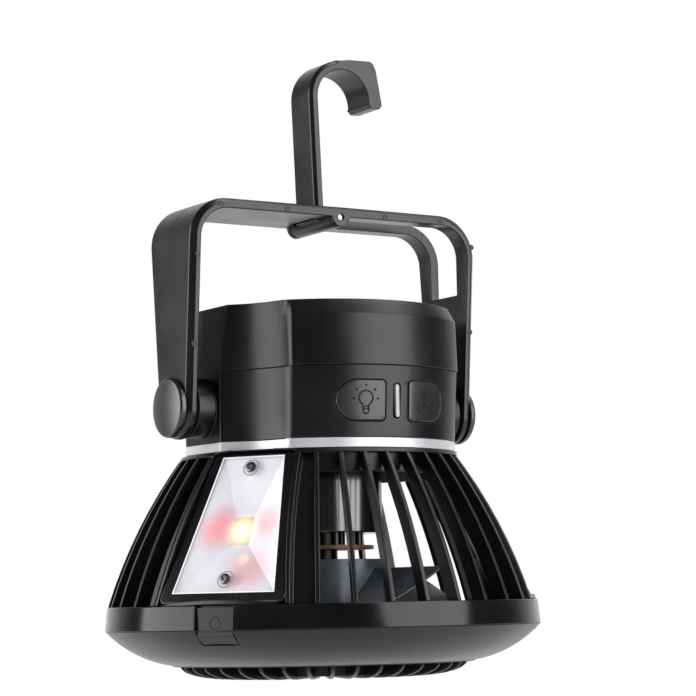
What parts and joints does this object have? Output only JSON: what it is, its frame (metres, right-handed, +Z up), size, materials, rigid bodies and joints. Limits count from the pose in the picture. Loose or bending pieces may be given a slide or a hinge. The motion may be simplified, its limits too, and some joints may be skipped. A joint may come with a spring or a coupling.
{
  "type": "portable camping fan",
  "caption": "Round caged fan with a battery box on top, side lamps, push buttons, a tilting carry handle and a fold-away hanging hook.",
  "frame": {"origin": "on the fan axis at the lowest point of the front grille, which it stands on", "axes": "+Z up along the fan axis towards the battery box, X along the handle's pivot axis, buttons face -Y"},
  "size_m": [0.1906, 0.1906, 0.2753],
  "materials": {
    "black_satin": "moulded black ABS, satin",
    "black_gloss": "moulded black ABS, polished",
    "black_blade": "moulded blue-black polypropylene, semi-gloss",
    "silver_trim": "satin chrome plating on plastic",
    "button_black": "moulded black plastic, fine texture",
    "indicator": "translucent light grey light pipe",
    "lamp_white": "metallised white reflector plastic",
    "lens_clear": "clear moulded lens, polished",
    "led_glow": "phosphor-coated LED chip",
    "led_board": "white solder mask",
    "board_green": "green solder mask",
    "board_brown": "bare brown phenolic board",
    "screw_steel": "zinc-plated steel",
    "bright_steel": "ground bright steel",
    "stator_steel": "stacked electrical steel",
    "copper": "enamelled copper winding",
    "brass": "turned brass",
    "magnet": "pressed ferrite",
    "cell_wrap": "blue shrink sleeve",
    "nickel": "nickel strip",
    "holder_grey": "dark grey moulded plastic",
    "washer_grey": "dark fibre-filled rubber"
  },
  "bodies": {
    "fan_head": {"fan_housing": "black_satin", "cage_fins": "black_satin", "rim_ring": "black_gloss", "bezel": "black_satin", "front_grille": "black_satin", "grille_screws": "screw_steel", "latch_tabs": "black_satin", "trim_ring": "silver_trim", "battery_housing": "black_satin", "battery_cap": "black_satin", "cap_screws": "screw_steel", "cage_screws": "screw_steel", "battery_cells": "cell_wrap", "cell_holder": "holder_grey", "cell_tabs": "nickel", "control_board": "board_green", "tact_switches": "holder_grey", "charge_board": "board_green", "charge_port": "bright_steel", "indicator_bar": "indicator", "left_lamp_frame": "black_satin", "left_lamp_reflector": "lamp_white", "left_lamp_board": "led_board", "left_lamp_led": "led_glow", "left_lamp_lens": "lens_clear", "left_lamp_screws": "screw_steel", "right_lamp_frame": "black_satin", "right_lamp_reflector": "lamp_white", "right_lamp_board": "led_board", "right_lamp_led": "led_glow", "right_lamp_lens": "lens_clear", "right_lamp_screws": "screw_steel", "motor_canister": "black_gloss", "motor_posts": "black_gloss", "motor_board": "board_brown", "bearing_tube": "brass", "bearings": "bright_steel", "stator_core": "stator_steel", "stator_coils": "copper", "pivot_screws": "screw_steel", "friction_washers": "washer_grey"},
    "light_button": {"light_button": "button_black"},
    "fan_button": {"fan_button": "button_black"},
    "rotor": {"impeller": "black_blade", "rotor_yoke": "stator_steel", "magnet_ring": "magnet", "shaft": "bright_steel", "shaft_clip": "bright_steel"},
    "handle": {"handle": "black_satin", "pivot_covers": "black_satin", "hook_pin": "bright_steel"},
    "hook": {"hook": "black_satin"}
  },
  "joints": [
    {"name": "handle_tilt", "type": "hinge", "parent": "fan_head", "child": "handle", "pos_m": [0, 0, 0.1159], "axis": [1, 0, 0], "range_deg": [-100, 100]},
    {"name": "hook_fold", "type": "hinge", "parent": "handle", "child": "hook", "pos_m": [0.0014, 0, 0.2008], "axis": [0, 1, 0], "range_deg": [0, 92]},
    {"name": "fan_spin", "type": "hinge", "parent": "fan_head", "child": "rotor", "pos_m": [0, 0, 0.035], "axis": [0, 0, 1], "continuous": true},
    {"name": "light_press", "type": "slide", "parent": "fan_head", "child": "light_button", "axis": [0, 1, 0], "range_m": [0, 0.0008], "stiffness_N_per_m": 1200, "springref_m": -0.0005},
    {"name": "fan_press", "type": "slide", "parent": "fan_head", "child": "fan_button", "axis": [0, 1, 0], "range_m": [0, 0.0008], "stiffness_N_per_m": 1200, "springref_m": -0.0005}
  ]
}
